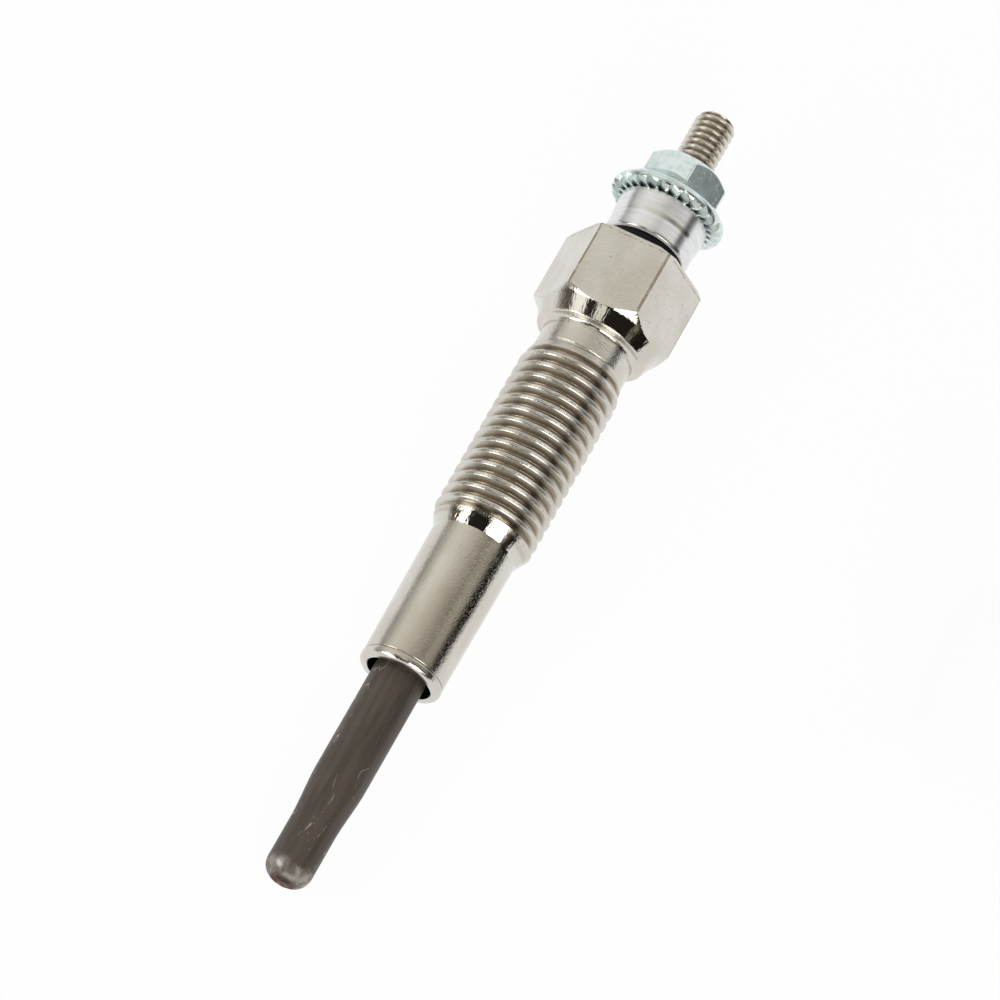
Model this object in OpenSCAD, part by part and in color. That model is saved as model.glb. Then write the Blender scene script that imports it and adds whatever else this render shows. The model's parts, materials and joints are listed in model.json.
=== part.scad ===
// Diesel glow plug with a metal sheath heater: M10 x 1.25 shell, M4 terminal stud with a
// serrated flange nut. It lies as it comes to rest, on one flat of the hexagon and on the
// lower end of the shell thread, stud towards +X. The floor is z = 0.
// Each piece is drawn upright on its own axis, with height 0 at the shoulder under the
// hexagon and + towards the stud, and is then laid down.

/* [Shell head] */
// Width of the hexagon across flats
hex_af = 12; // [11.5:0.5:14]
// Height of the head from the shoulder to its top face
head_h = 9.25; // [8:0.25:12]
// Diameter of the shoulder ring under the head
shoulder_d = 10.9; // [10.4:0.1:11.4]
// Height of the flare from the shoulder up to the flats
flare_h = 1.5; // [1.2:0.1:2.6]
// Slope of the chamfer under the hexagon corners, from the axis
under_slope = 47; // [35:1:60]
// Diameter of the flat on top of the hexagon
crown_d = 12.8; // [12:0.1:13.2]
// Slope of the crown chamfer, from the top face
crown_slope = 30; // [15:1:40]

/* [Shell barrel] */
// Diameter of the plain neck under the head
neck_d = 8.96; // [8.4:0.02:9.4]
// Length of the plain neck
neck_l = 2.4; // [1.5:0.1:4]
// Fillet between the neck and the shoulder
neck_fillet = 0.5; // [0.2:0.05:0.6]
// Length over which the thread runs out into the neck
runout_l = 2; // [1:0.1:3]
// Crest diameter of the shell thread
thread_d = 9.95; // [9.7:0.05:10.4]
// Length of the shell thread at full crest diameter
thread_l = 16.9; // [12:0.1:22]
// Length of the lead-in cone of the thread
lead_l = 1.75; // [1:0.05:3]
// Diameter of the nose next to the thread
nose_root_d = 8.25; // [7.9:0.05:8.6]
// Diameter of the nose above its lip
nose_end_d = 7.95; // [7.5:0.05:8.2]
// Length of the nose
nose_l = 14.6; // [10:0.1:18]
// Diameter of the rolled lip at the nose end
lip_d = 8.05; // [7.6:0.05:8.4]
// Height of the lip
lip_l = 0.9; // [0.7:0.05:1.4]
// Rounding of the lip's outer edge
lip_round = 0.5; // [0.3:0.05:0.6]

/* [Shell bore] */
// Play left between fitted pieces
fit_gap = 0.03; // [0.02:0.01:0.06]
// Width of the open ring round the heater at the nose
mouth_gap = 0.65; // [0.4:0.05:0.8]
// Depth of that open ring
mouth_depth = 2.5; // [1:0.1:5]
// Length of the press seat that grips the sheath
grip_l = 15; // [8:0.5:20]
// Room left above the sheath at the end of its seat
seat_relief = 0.5; // [0.2:0.1:1.5]
// Room round the rod in the upper bore
passage_gap = 0.4; // [0.2:0.05:0.6]

/* [Heater sheath] */
// Outer diameter of the sheath
sheath_d = 5; // [4.7:0.1:5.3]
// Wall of the sheath
sheath_wall = 0.5; // [0.3:0.05:0.6]
// Reach of the heater past the nose
heater_l = 22.1; // [18:0.1:30]
// Diameter of the reduced tip
tip_d = 4.4; // [4:0.01:4.6]
// Length of the reduced tip
tip_l = 5.75; // [3.5:0.05:7]
// Length of the taper above the tip
taper_l = 5.5; // [3:0.1:8]
// Rounding of the tip
tip_round = 1.6; // [0.5:0.1:1.9]
// Thickness of the closed end
tip_wall = 1.2; // [0.9:0.1:1.8]
// Diameter of the weld dimple in the tip
dimple_d = 2.3; // [1:0.1:2.4]
// Depth of the weld dimple
dimple_depth = 0.45; // [0.1:0.05:0.6]

/* [Centre rod] */
// Crest diameter of the terminal thread
stud_d = 3.95; // [3.9:0.05:4.2]
// Pitch diameter of that thread, which is also the rod's plain shank
shank_d = 3.55; // [3.4:0.05:3.6]
// Length of stud that stands above the nut
stud_l = 6.4; // [4:0.1:12]
// Diameter at the very end of the stud
stud_end_d = 2.8; // [2.2:0.1:3.4]
// Length of the stud's end chamfer
stud_lead_l = 0.95; // [0.4:0.05:1.5]
// Diameter of the rod's tail inside the sheath
tail_d = 3; // [2.8:0.1:3.1]
// Depth to which the tail reaches into the sheath
tail_l = 16.15; // [8:0.1:18]
// Height of the step from tail to shank above the sheath
step_l = 1; // [0.6:0.1:2]
// Diameter of the nipple that the coil is slipped over
nipple_d = 1.8; // [1.4:0.1:1.9]
// Length of the nipple
nipple_l = 2; // [1:0.1:3]

/* [Coils] */
// Wire diameter of both coils
wire_d = 0.36; // [0.26:0.02:0.4]
// Turns of the heating coil in the tip
heat_turns = 9; // [6:1:12]
// Length of the heating coil
heat_l = 10; // [7:0.5:11]
// Turns of the regulating coil between heating coil and rod
reg_turns = 10; // [6:1:12]
// Room left at each end of the coils
coil_end_gap = 0.25; // [0.2:0.05:0.5]

/* [Insulation] */
// Length of the seal in the mouth of the sheath
seal_l = 3.5; // [2:0.1:5]
// Diameter of the insulating bush's flange
bush_d = 8; // [7.4:0.1:8.4]
// Height of the flange
bush_h = 1.65; // [1:0.05:3]
// Diameter of the bush's spigot inside the shell
spigot_d = 6.3; // [5.8:0.1:6.8]
// Length of the spigot
spigot_l = 2; // [1:0.1:3]
// Room in the bush's bore round the stud's crests
bush_gap = 0.08; // [0.04:0.02:0.2]

/* [Terminal collar] */
// Height of the collar
collar_h = 4.4; // [3:0.1:6]
// Diameter of the collar's lower band
collar_low_d = 8.5; // [8:0.05:8.8]
// Height of the lower band
collar_band_h = 2.2; // [1:0.1:2.6]
// Diameter at the top of the collar's upper band
collar_top_d = 8.85; // [8.6:0.05:9.2]
// Rounding of the collar's lower edge
collar_round = 0.5; // [0.2:0.05:0.8]
// Chamfer of the collar's top edge
collar_chamfer = 0.15; // [0.05:0.05:0.3]

/* [Terminal nut] */
// Width of the nut across flats
nut_af = 7.7; // [7:0.1:8.2]
// Height of the nut
nut_h = 4.95; // [4.5:0.05:7]
// Diameter of the nut's flange
flange_d = 11.35; // [11:0.05:12]
// Radius of the flange's rim
rim_r = 0.55; // [0.4:0.05:0.65]
// Height of the middle of the rim
rim_z = 0.65; // [0.6:0.05:0.9]
// Slope of the flange's top
flange_slope = 42; // [20:1:45]
// Diameter of the flat on top of the nut
nut_crown_d = 7.2; // [6:0.1:7.6]
// Slope of the nut's crown chamfer, from the top face
nut_crown_slope = 50; // [15:1:55]
// Countersink of the nut's thread at both faces
nut_countersink = 0.3; // [0.1:0.05:0.5]
// Number of locking teeth under the flange
teeth = 28; // [20:1:30]
// Depth of the teeth at the rim
tooth_depth = 0.6; // [0.4:0.05:0.65]
// Reach of the notches in over the collar's edge
tooth_reach = 0.8; // [0.3:0.1:1]
// Share of each tooth's pitch that its notch takes
notch_share = 0.8; // [0.5:0.05:0.9]
// Turn of the nut on the stud
nut_turn = 43; // [0:1:59]

/* [Hidden] */
$fn = 96;

// Wire sections per turn, sides of the drawn wire and the amount by which a cut passes a face
coil_steps = 12;
wire_sides = 6;
through = 1;
// Bands that round the nut's rim, and the angle at which they start
rim_steps = 5;
rim_low_angle = -60;

// Heights along the axis, 0 at the shoulder
neck_z = -neck_l;
thread_top_z = neck_z - runout_l;
thread_low_z = thread_top_z - thread_l;
nose_top_z = thread_low_z - lead_l;
nose_z = nose_top_z - nose_l;
lip_z = nose_z + lip_l;
grip_z = nose_z + mouth_depth;
sheath_top_z = grip_z + grip_l;
tip_z = nose_z - heater_l;
tip_top_z = tip_z + tip_l;
taper_top_z = tip_top_z + taper_l;
cavity_z = tip_z + tip_wall;
seal_z = sheath_top_z - seal_l;
tail_z = sheath_top_z - tail_l;
nipple_z = tail_z - nipple_l;
bush_top_z = head_h + bush_h;
collar_top_z = bush_top_z + collar_h;
nut_top_z = collar_top_z + nut_h;
stud_z = nut_top_z + stud_l;

// Bores and seats taken from the pieces that sit in them
press_d = sheath_d + 2 * fit_gap;
mouth_d = sheath_d + 2 * mouth_gap;
passage_d = shank_d + 2 * passage_gap;
seat_d = spigot_d + 2 * fit_gap;
tapped_d = shank_d + 2 * fit_gap;
cavity_d = sheath_d - 2 * sheath_wall;
cavity_tip_d = tip_d - 2 * sheath_wall;
ring_inner_d = shank_d + 2 * fit_gap;
ring_outer_d = seat_d - 2 * fit_gap;
ring_section_d = (ring_outer_d - ring_inner_d) / 2;
seat_z = head_h - spigot_l - ring_section_d - 2 * fit_gap;

// Coil path: the mean radius lets the inside of the drawn wire clear the nipple
coil_r = (nipple_d / 2 + fit_gap + wire_d / 2) / cos(180 / coil_steps);
coil_low_z = cavity_z + coil_end_gap + wire_d / 2;
coil_top_z = tail_z - coil_end_gap - wire_d / 2;
reg_l = coil_top_z - coil_low_z - heat_l;
all_turns = heat_turns + reg_turns;
pocket_r = coil_r + wire_d / 2 + 2 * fit_gap;
pocket_turn = heat_turns + (nipple_z + wire_d - coil_low_z - heat_l) * reg_turns / reg_l;

// Teeth under the flange
tooth_seat_r = collar_top_d / 2 - tooth_reach;
tooth_rim_r = flange_d / 2;
tooth_slope = atan(tooth_depth / (tooth_rim_r - tooth_seat_r));
tooth_edge_depth = tooth_reach * tan(tooth_slope);
notch_w = notch_share * 2 * PI * tooth_seat_r / teeth;

// Rest: the lowest edge of the flat and the first point of the barrel that meets the floor
rest_points = [
    [thread_d / 2, thread_low_z],
    [lip_d / 2, nose_z + lip_round],
    [sheath_d / 2, taper_top_z],
    [tip_d / 2, tip_z + tip_round]
];
rest_tilt = min([for (p = rest_points) atan((hex_af / 2 - p[0]) / (flare_h - p[1]))]);
rest_lift = hex_af / 2 * cos(rest_tilt) - flare_h * sin(rest_tilt);
tip_core_r = tip_d / 2 - tip_round;
rest_tip_x = (tip_z + tip_round) * cos(rest_tilt) - tip_core_r * sin(rest_tilt) - tip_round;
rest_stud_x = stud_z * cos(rest_tilt) + stud_end_d / 2 * sin(rest_tilt);
rest_x = (rest_tip_x + rest_stud_x) / 2;

// Sweep of a wire along part of the coil path, from turn a to turn b
function wire_z(t) =
    coil_low_z + (t < heat_turns
        ? t * heat_l / heat_turns
        : heat_l + (t - heat_turns) * reg_l / reg_turns);
function wire_ring(t, r) = [
    for (j = [0 : wire_sides - 1])
        let (a = 360 * j / wire_sides, d = coil_r + r * cos(a))
        [d * cos(360 * t), d * sin(360 * t), wire_z(t) + r * sin(a)]
];
function wire_points(a, b, n, r) = [
    for (i = [0 : n])
        each wire_ring(a + (b - a) * i / n, r)
];
function wire_side(i, j) =
    let (k = (j + 1) % wire_sides, low = i * wire_sides, high = low + wire_sides)
    [[low + j, low + k, high + k], [low + j, high + k, high + j]];
function wire_faces(n) = [
    [for (j = [wire_sides - 1 : -1 : 0]) j],
    for (i = [0 : n - 1], j = [0 : wire_sides - 1])
        each wire_side(i, j),
    [for (j = [0 : wire_sides - 1]) n * wire_sides + j]
];

// Puts an upright piece in its resting place
module lay_down() {
    translate([-rest_x, 0, rest_lift])
        rotate([0, 90 - rest_tilt, 0])
            children();
}

// Straight round cut from height a to height b
module drill(d, a, b) {
    translate([0, 0, a])
        cylinder(d = d, h = b - a);
}

// Hexagonal bar standing on height 0, with a flat towards +X
module hex_bar(af, h) {
    rotate(30)
        cylinder(d = af / cos(30), h = h, $fn = 6);
}

// Length of wire wound from turn a to turn b
module wire(a, b, r) {
    n = round((b - a) * coil_steps);
    polyhedron(points = wire_points(a, b, n, r), faces = wire_faces(n), convexity = 10);
}

// Turned outline of the barrel, from the nose lip to the shoulder
module barrel_outline() {
    polygon([
        [0, nose_z + lip_round],
        [lip_d / 2, nose_z + lip_round],
        [nose_end_d / 2, lip_z],
        [nose_root_d / 2, nose_top_z],
        [thread_d / 2, thread_low_z],
        [thread_d / 2, thread_top_z],
        [neck_d / 2, neck_z],
        [neck_d / 2, 0],
        [0, 0]
    ]);
    translate([0, nose_z])
        square([lip_d / 2 - lip_round, 2 * lip_round]);
    translate([lip_d / 2 - lip_round, nose_z + lip_round])
        circle(r = lip_round);
    translate([neck_d / 2, -neck_fillet])
        difference() {
            square(neck_fillet);
            translate([neck_fillet, 0])
                circle(r = neck_fillet);
        }
}

// Turned outline that trims the hexagon: flare, under chamfer and crown chamfer
module head_outline() {
    corner_r = hex_af / cos(30) / 2;
    out_r = corner_r + through;
    polygon([
        [0, 0],
        [shoulder_d / 2, 0],
        [hex_af / 2, flare_h],
        [out_r, flare_h + (out_r - hex_af / 2) / tan(under_slope)],
        [out_r, head_h - (out_r - crown_d / 2) * tan(crown_slope)],
        [crown_d / 2, head_h],
        [0, head_h]
    ]);
}

// One piece of nickel plated steel, drilled from both ends
module shell() {
    color("#b9b1a3")
    lay_down()
        difference() {
            union() {
                rotate_extrude()
                    barrel_outline();
                intersection() {
                    hex_bar(hex_af, head_h);
                    rotate_extrude()
                        head_outline();
                }
            }
            drill(mouth_d, nose_z - through, grip_z);
            drill(press_d, nose_z, sheath_top_z + seat_relief);
            drill(passage_d, sheath_top_z, head_h);
            drill(seat_d, seat_z, head_h + through);
        }
}

// Drawn tube with a reduced tip, welded shut
module sheath() {
    color("#4b423a")
    lay_down()
        difference() {
            rotate_extrude() {
                polygon([
                    [0, tip_z + tip_round],
                    [tip_d / 2, tip_z + tip_round],
                    [tip_d / 2, tip_top_z],
                    [sheath_d / 2, taper_top_z],
                    [sheath_d / 2, sheath_top_z],
                    [0, sheath_top_z]
                ]);
                translate([0, tip_z])
                    square([tip_core_r, tip_round]);
                intersection() {
                    translate([tip_core_r, tip_z + tip_round])
                        circle(r = tip_round);
                    translate([tip_core_r, tip_z])
                        square(tip_round);
                }
            }
            rotate_extrude()
                cavity_outline(0, sheath_top_z + through);
            translate([0, 0, tip_z - dimple_depth])
                cylinder(d1 = dimple_d + dimple_depth, d2 = dimple_d - dimple_depth,
                         h = 2 * dimple_depth);
        }
}

// Inside of the sheath, shrunk by a gap, up to a height
module cavity_outline(gap, top) {
    polygon([
        [0, cavity_z + gap],
        [cavity_tip_d / 2 - gap, cavity_z + gap],
        [cavity_tip_d / 2 - gap, tip_top_z],
        [cavity_d / 2 - gap, taper_top_z],
        [cavity_d / 2 - gap, top],
        [0, top]
    ]);
}

// Fine coil in the tip that heats the sheath
module heating_coil() {
    color("#8f8a84")
    lay_down()
        wire(0, heat_turns, wire_d / 2);
}

// Coil in series behind it that holds the current back as it warms
module regulating_coil() {
    color("#a98f6d")
    lay_down()
        wire(heat_turns, all_turns, wire_d / 2);
}

// Packed magnesia that fills the sheath round the coils and the rod's tail
module insulating_powder() {
    before_turn = -1 / coil_steps;
    after_turn = ceil(pocket_turn * coil_steps) / coil_steps;
    color("#ece7dc")
    lay_down()
        difference() {
            rotate_extrude()
                cavity_outline(fit_gap, seal_z);
            drill(tail_d + 2 * fit_gap, tail_z - fit_gap, seal_z + through);
            drill(2 * pocket_r, nipple_z - fit_gap, tail_z);
            wire(before_turn, after_turn, wire_d / 2 + fit_gap);
        }
}

// Steel rod: terminal thread, shank, tail and coil nipple
module centre_rod() {
    color("#b5aea2")
    lay_down()
        rotate_extrude()
            polygon([
                [0, nipple_z],
                [nipple_d / 2, nipple_z],
                [nipple_d / 2, tail_z],
                [tail_d / 2, tail_z],
                [tail_d / 2, sheath_top_z + step_l],
                [shank_d / 2, sheath_top_z + step_l + (shank_d - tail_d) / 2],
                [shank_d / 2, nut_top_z],
                [stud_d / 2, nut_top_z],
                [stud_d / 2, stud_z - stud_lead_l],
                [stud_end_d / 2, stud_z],
                [0, stud_z]
            ]);
}

// Rubber ring that closes the mouth of the sheath
module sheath_seal() {
    color("#5a3b2e")
    lay_down()
        difference() {
            drill(cavity_d - 2 * fit_gap, seal_z, sheath_top_z);
            drill(tail_d + 2 * fit_gap, seal_z - through, sheath_top_z + through);
        }
}

// Rubber ring between the shell's top seat, the bush and the rod
module o_ring() {
    color("#26262a")
    lay_down()
        translate([0, 0, seat_z + fit_gap + ring_section_d / 2])
            rotate_extrude()
                translate([(ring_inner_d + ring_outer_d) / 4, 0])
                    circle(d = ring_section_d);
}

// Moulded bush that holds the collar off the shell
module insulating_bush() {
    color("#1c1c1e")
    lay_down()
        difference() {
            union() {
                drill(bush_d, head_h, bush_top_z);
                drill(spigot_d, head_h - spigot_l, bush_top_z);
            }
            drill(stud_d + 2 * bush_gap, head_h - spigot_l - through, bush_top_z + through);
        }
}

// Turned aluminium ring that is pressed on the thread and clamps the bush
module terminal_collar() {
    low_r = collar_low_d / 2;
    top_r = collar_top_d / 2;
    step_r = (low_r + top_r) / 2;
    band_z = bush_top_z + collar_band_h;
    color("#c9c9c6")
    lay_down()
        difference() {
            rotate_extrude() {
                polygon([
                    [0, bush_top_z + collar_round],
                    [low_r, bush_top_z + collar_round],
                    [low_r, band_z],
                    [step_r, band_z],
                    [top_r, collar_top_z - collar_chamfer],
                    [top_r - collar_chamfer, collar_top_z],
                    [0, collar_top_z]
                ]);
                translate([0, bush_top_z])
                    square([low_r - collar_round, 2 * collar_round]);
                translate([low_r - collar_round, bush_top_z + collar_round])
                    circle(r = collar_round);
            }
            drill(tapped_d, bush_top_z - through, collar_top_z + through);
        }
}

// Turned outline of the nut's flange: round rim, then a cone that ends inside the hexagon
module nut_outline() {
    core_r = flange_d / 2 - rim_r;
    cone_r = core_r + rim_r * sin(flange_slope);
    cone_z = rim_z + rim_r * cos(flange_slope);
    inner_r = nut_af / 3;
    inner_z = cone_z + (cone_r - inner_r) * tan(flange_slope);
    polygon([
        [0, 0],
        [core_r, 0],
        for (i = [0 : rim_steps])
            let (a = rim_low_angle + i * (90 - flange_slope - rim_low_angle) / rim_steps)
            [core_r + rim_r * cos(a), rim_z + rim_r * sin(a)],
        [inner_r, inner_z],
        [0, inner_z]
    ]);
}

// Turned outline that crowns the nut's hexagon
module nut_crown_outline() {
    out_r = nut_af / cos(30) / 2 + through;
    polygon([
        [0, rim_z],
        [out_r, rim_z],
        [out_r, nut_h - (out_r - nut_crown_d / 2) * tan(nut_crown_slope)],
        [nut_crown_d / 2, nut_h],
        [0, nut_h]
    ]);
}

// One notch of the locking teeth: steep on one side, sloped on the other, deeper to the rim
module notch() {
    translate([tooth_seat_r, 0, 0])
        rotate([0, 90 - tooth_slope, 0])
            translate([0, 0, -through])
                linear_extrude(height = tooth_rim_r)
                    polygon([
                        [0, -notch_w / 5],
                        [2 * notch_w, -notch_w * 4 / 5],
                        [2 * notch_w, notch_w * (2 * notch_w / tooth_edge_depth - 1 / 5)]
                    ]);
}

// Zinc plated flange nut, toothed under the flange
module terminal_nut() {
    color("#c3cbc8")
    lay_down()
        translate([0, 0, collar_top_z])
            rotate(nut_turn)
                difference() {
                    union() {
                        rotate_extrude()
                            nut_outline();
                        intersection() {
                            hex_bar(nut_af, nut_h);
                            rotate_extrude()
                                nut_crown_outline();
                        }
                    }
                    for (i = [0 : teeth - 1])
                        rotate(360 * i / teeth)
                            notch();
                    drill(tapped_d, -through, nut_h + through);
                    for (z = [0, nut_h])
                        translate([0, 0, z - nut_countersink])
                            cylinder(d1 = tapped_d + (z > 0 ? 0 : 4) * nut_countersink,
                                     d2 = tapped_d + (z > 0 ? 4 : 0) * nut_countersink,
                                     h = 2 * nut_countersink);
                }
}

shell();
sheath();
heating_coil();
regulating_coil();
insulating_powder();
centre_rod();
sheath_seal();
o_ring();
insulating_bush();
terminal_collar();
terminal_nut();
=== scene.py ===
"""Dresses the diesel glow plug and lights it on a plain pale floor.

Each piece is modelled upright in millimetres, with height 0 at the shoulder under the
hexagon and + towards the stud, and is then laid down at its place in the frame.
"""
import json
import logging
import math
from abc import ABC, abstractmethod
from dataclasses import dataclass, field
from enum import Enum
from typing import Callable, Protocol, Union

import bpy
from mathutils import Matrix, Vector


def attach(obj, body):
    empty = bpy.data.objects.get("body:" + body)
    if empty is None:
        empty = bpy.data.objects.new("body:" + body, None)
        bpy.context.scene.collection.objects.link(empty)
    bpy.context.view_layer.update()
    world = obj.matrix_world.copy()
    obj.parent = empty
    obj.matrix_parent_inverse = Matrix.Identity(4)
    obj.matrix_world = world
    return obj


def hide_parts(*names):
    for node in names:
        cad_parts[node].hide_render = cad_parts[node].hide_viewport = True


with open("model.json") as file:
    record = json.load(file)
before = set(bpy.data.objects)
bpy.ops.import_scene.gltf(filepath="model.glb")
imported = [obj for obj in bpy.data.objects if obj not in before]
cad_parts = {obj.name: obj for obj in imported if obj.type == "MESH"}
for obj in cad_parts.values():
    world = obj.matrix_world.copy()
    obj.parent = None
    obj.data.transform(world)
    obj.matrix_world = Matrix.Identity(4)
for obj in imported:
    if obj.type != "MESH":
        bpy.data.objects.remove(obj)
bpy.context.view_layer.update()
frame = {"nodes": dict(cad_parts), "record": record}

LOG = logging.getLogger("glow_plug")
MM = 0.001
HEX_HALF_ANGLE = math.radians(30)
WHITE = (1, 1, 1, 1)
# Steps round the axis on wide and on slim pieces, and across a rounded edge.
SPIN_STEPS = 144
SLIM_STEPS = 96
ROUND_STEPS = 4
# Millimetres by which a cutter passes the face it cuts, and within which points are one.
CLEAR = 1.0
MERGE_GAP = 1e-4
# Share of a radius past which an edge counts as the rim, and weight of large faces in shading.
RIM_SHARE = 0.95
FLAT_WEIGHT = 80

Span = tuple[float, float]
Outline = list[Span]
Limits = Callable[[float], Span]
Colour = tuple[float, float, float]
Tones = tuple[tuple[float, Colour], ...]
Piece = bpy.types.Object
Elements = bpy.types.bpy_prop_collection


class Cut(Enum):
    """How a second solid acts on a piece."""

    ADD = "UNION"
    TAKE = "DIFFERENCE"
    KEEP = "INTERSECT"


@dataclass(frozen=True)
class Rest:
    """Place and lie of the plug, read from the frame's two mounts."""

    shoulder: Vector
    axis: Vector
    tilt: float

    @classmethod
    def from_frame(cls, thread_middle: float) -> "Rest":
        """Reads the axis from the stud and the shoulder from the shell thread.

        Args:
            thread_middle: Height of the middle of the shell thread, in millimetres.

        Returns:
            The place in which every piece is laid down.
        """
        mounts = {mount["name"]: mount for mount in frame["record"]["mounts"]}
        axis = Vector(mounts["terminal_stud"]["axis"]).normalized()
        shoulder = Vector(mounts["head_thread"]["pos_m"]) - axis * thread_middle * MM
        return cls(shoulder, axis, math.atan2(axis.x, axis.z))

    @property
    def matrix(self) -> Matrix:
        """Turns an upright piece in millimetres into one at rest in metres."""
        turn = Matrix.Rotation(self.tilt, 4, "Y")
        return Matrix.Translation(self.shoulder) @ turn @ Matrix.Scale(MM, 4)


def arc(centre: Span, radius: float, start: float, end: float, steps: int) -> Outline:
    """Points of a round stretch of an outline.

    Args:
        centre: Radius and height of the arc's centre.
        radius: Radius of the arc.
        start: First angle in degrees, 0 outwards and 90 upwards.
        end: Last angle in degrees.
        steps: Number of straight steps.

    Returns:
        The points from the first angle to the last.
    """
    angles = [math.radians(start + (end - start) * i / steps) for i in range(steps + 1)]
    return [(centre[0] + radius * math.cos(a), centre[1] + radius * math.sin(a)) for a in angles]


def ramp(value: float, low: float, high: float) -> float:
    """Share of the way from low to high, kept between 0 and 1."""
    return min(max((value - low) / (high - low), 0.0), 1.0)


def ease(share: float) -> float:
    """Smooth way from 0 to 1, level at both ends."""
    return 3 * share * share - 2 * share ** 3


class Bench:
    """Modelling steps that every piece shares."""

    @staticmethod
    def clear() -> None:
        """Leaves nothing selected."""
        bpy.ops.object.select_all(action="DESELECT")

    @staticmethod
    def activate(piece: Piece) -> None:
        """Makes a piece the only selected and the active one.

        Args:
            piece: The piece.
        """
        Bench.clear()
        piece.select_set(True)
        bpy.context.view_layer.objects.active = piece

    @staticmethod
    def draw(name: str, outline: Outline, lift: float = 0.0) -> Piece:
        """Draws an outline beside the axis point by point and stays in edit mode.

        Args:
            name: Name of the new object.
            outline: Points as radius and height.
            lift: Height by which the whole outline is raised.

        Returns:
            The drawn line.
        """
        Bench.clear()
        bpy.ops.mesh.primitive_plane_add(size=1)
        line = bpy.context.object
        line.name = name
        bpy.ops.object.mode_set(mode="EDIT")
        bpy.ops.mesh.select_mode(type="VERT")
        bpy.ops.mesh.merge(type="CENTER")
        bpy.ops.transform.translate(value=(outline[0][0], 0, outline[0][1] + lift))
        for (r0, z0), (r1, z1) in zip(outline, outline[1:]):
            bpy.ops.mesh.extrude_region_move(TRANSFORM_OT_translate={"value": (r1 - r0, 0, z1 - z0)})
        return line

    @staticmethod
    def lathe(name: str, outline: Outline, steps: int = SPIN_STEPS) -> Piece:
        """Turns an outline round the plug's axis.

        Args:
            name: Name of the new object.
            outline: Points as radius and height; it starts and ends on the axis or at one point.
            steps: Number of steps round the axis.

        Returns:
            The closed turned object.
        """
        piece = Bench.draw(name, outline)
        bpy.ops.mesh.select_all(action="SELECT")
        bpy.ops.mesh.spin(steps=steps, angle=2 * math.pi, center=(0, 0, 0), axis=(0, 0, 1))
        Bench.close()
        return piece

    @staticmethod
    def close() -> None:
        """Merges doubles, turns faces outwards and leaves edit mode."""
        bpy.ops.mesh.select_all(action="SELECT")
        bpy.ops.mesh.remove_doubles(threshold=MERGE_GAP)
        bpy.ops.mesh.normals_make_consistent(inside=False)
        bpy.ops.object.mode_set(mode="OBJECT")

    @staticmethod
    def combine(piece: Piece, tool: Piece, cut: Cut) -> None:
        """Adds, takes or keeps a second solid and uses it up.

        Args:
            piece: The solid that stays.
            tool: The solid that acts on it.
            cut: What the tool does.
        """
        Bench.activate(piece)
        step = piece.modifiers.new("cut", "BOOLEAN")
        step.operation = cut.value
        step.solver = "EXACT"
        step.object = tool
        bpy.ops.object.modifier_apply(modifier=step.name)
        bpy.data.objects.remove(tool)

    @staticmethod
    def pick(kind: str, elements: Elements, wanted: Callable[..., bool]) -> None:
        """Selects edges or faces of the active piece and stays in edit mode.

        Args:
            kind: Selection mode, EDGE or FACE.
            elements: The piece's edges or faces.
            wanted: Says of an edge or a face whether it is selected.
        """
        bpy.ops.object.mode_set(mode="EDIT")
        bpy.ops.mesh.select_mode(type=kind)
        bpy.ops.mesh.select_all(action="DESELECT")
        bpy.ops.object.mode_set(mode="OBJECT")
        for element in elements:
            element.select = wanted(element)
        bpy.ops.object.mode_set(mode="EDIT")

    @staticmethod
    def pick_edges(piece: Piece, wanted: Callable[[Vector, Vector], bool]) -> None:
        """Selects edges by their two ends and stays in edit mode."""
        points = piece.data.vertices
        Bench.pick("EDGE", piece.data.edges, lambda edge: wanted(*(points[i].co for i in edge.vertices)))

    @staticmethod
    def break_edges(piece: Piece, height: float, inside: float, width: float) -> None:
        """Rounds the outer edges that lie at one height.

        Args:
            piece: The piece to round.
            height: Height of the edges.
            inside: Radius that both ends of such an edge pass.
            width: Width of the rounding.
        """
        Bench.activate(piece)
        Bench.pick_edges(piece, lambda *ends: all(
            abs(end.z - height) < 1e-3 and math.hypot(end.x, end.y) > inside for end in ends))
        bpy.ops.mesh.bevel(offset=width, segments=ROUND_STEPS, clamp_overlap=True)
        bpy.ops.object.mode_set(mode="OBJECT")

    @staticmethod
    def hex_bar(name: str, across: float, low: float, high: float, edge: float) -> Piece:
        """Hexagonal bar with rounded edges and a flat towards +X.

        Args:
            name: Name of the new object.
            across: Width across flats.
            low: Height of its lower end.
            high: Height of its upper end.
            edge: Rounding of its long edges.

        Returns:
            The bar.
        """
        Bench.clear()
        corner = across / 2 / math.cos(HEX_HALF_ANGLE)
        bpy.ops.mesh.primitive_cylinder_add(
            vertices=6, radius=corner, depth=high - low, location=(0, 0, (low + high) / 2))
        bar = bpy.context.object
        bar.name = name
        bpy.ops.object.transform_apply(location=True, rotation=True, scale=True)
        Bench.pick_edges(bar, lambda a, b: abs(a.z - b.z) > (high - low) / 2)
        bpy.ops.mesh.bevel(offset=edge * math.tan(HEX_HALF_ANGLE), segments=ROUND_STEPS)
        bpy.ops.object.mode_set(mode="OBJECT")
        return bar

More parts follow.
